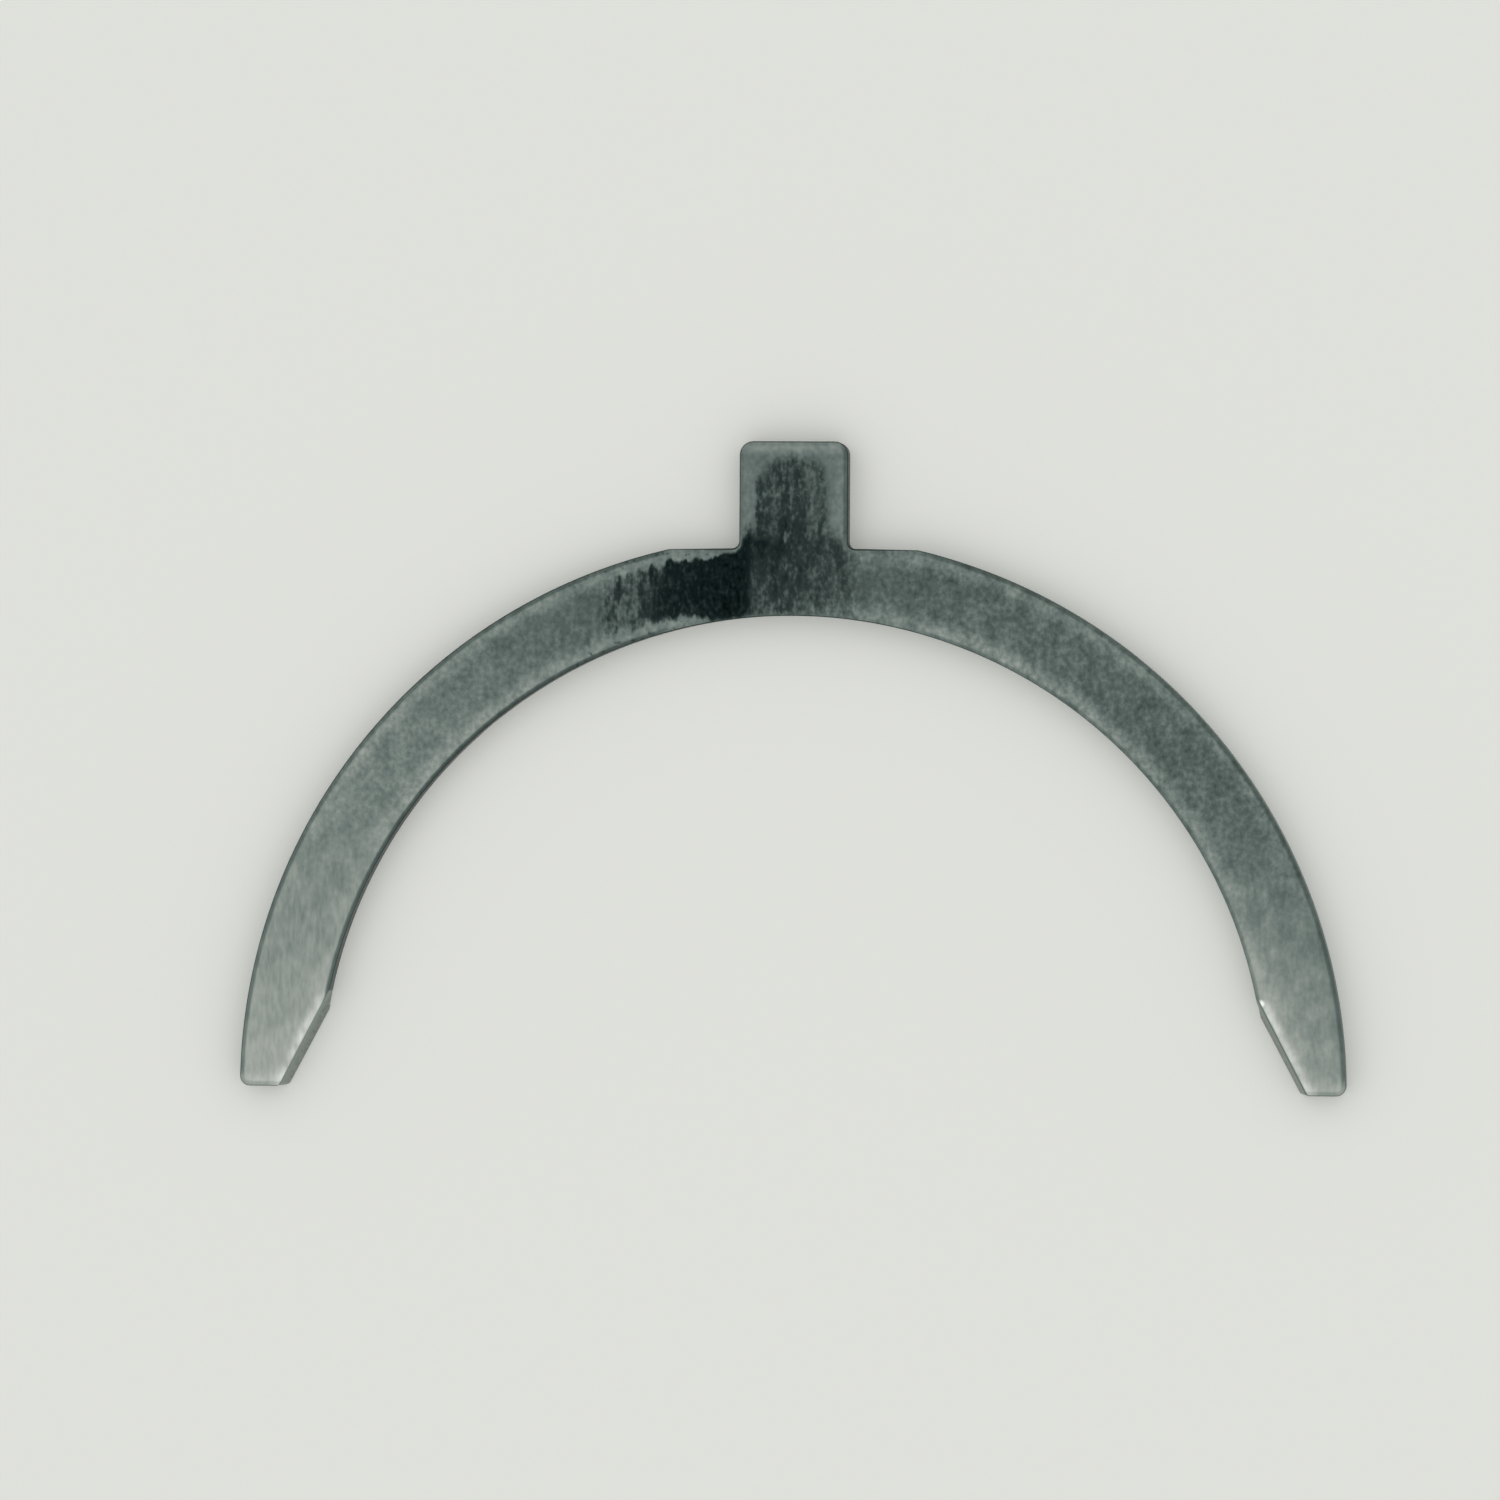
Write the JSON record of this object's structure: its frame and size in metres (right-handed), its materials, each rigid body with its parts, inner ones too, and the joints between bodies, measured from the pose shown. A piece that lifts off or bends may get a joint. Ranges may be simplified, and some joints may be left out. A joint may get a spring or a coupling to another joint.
{
  "type": "half-ring thrust washer",
  "caption": "Half-ring thrust washer stamped from steel plate, with a locating tab, flats beside it, slanted relief at each tip and oil grooves in the thrust face.",
  "frame": {"origin": "on the axis of the shaft that the half ring goes round, level with the grooved thrust face", "axes": "+Z out of the plain back, +Y through the middle of the tab, +X across the two tips"},
  "size_m": [0.0898, 0.0525, 0.0025],
  "materials": {
    "steel": "rolled grey steel with fine grain along the tab's direction, oil-stained round the tab"
  },
  "bodies": {
    "root": {"washer": "steel"}
  },
  "joints": []
}
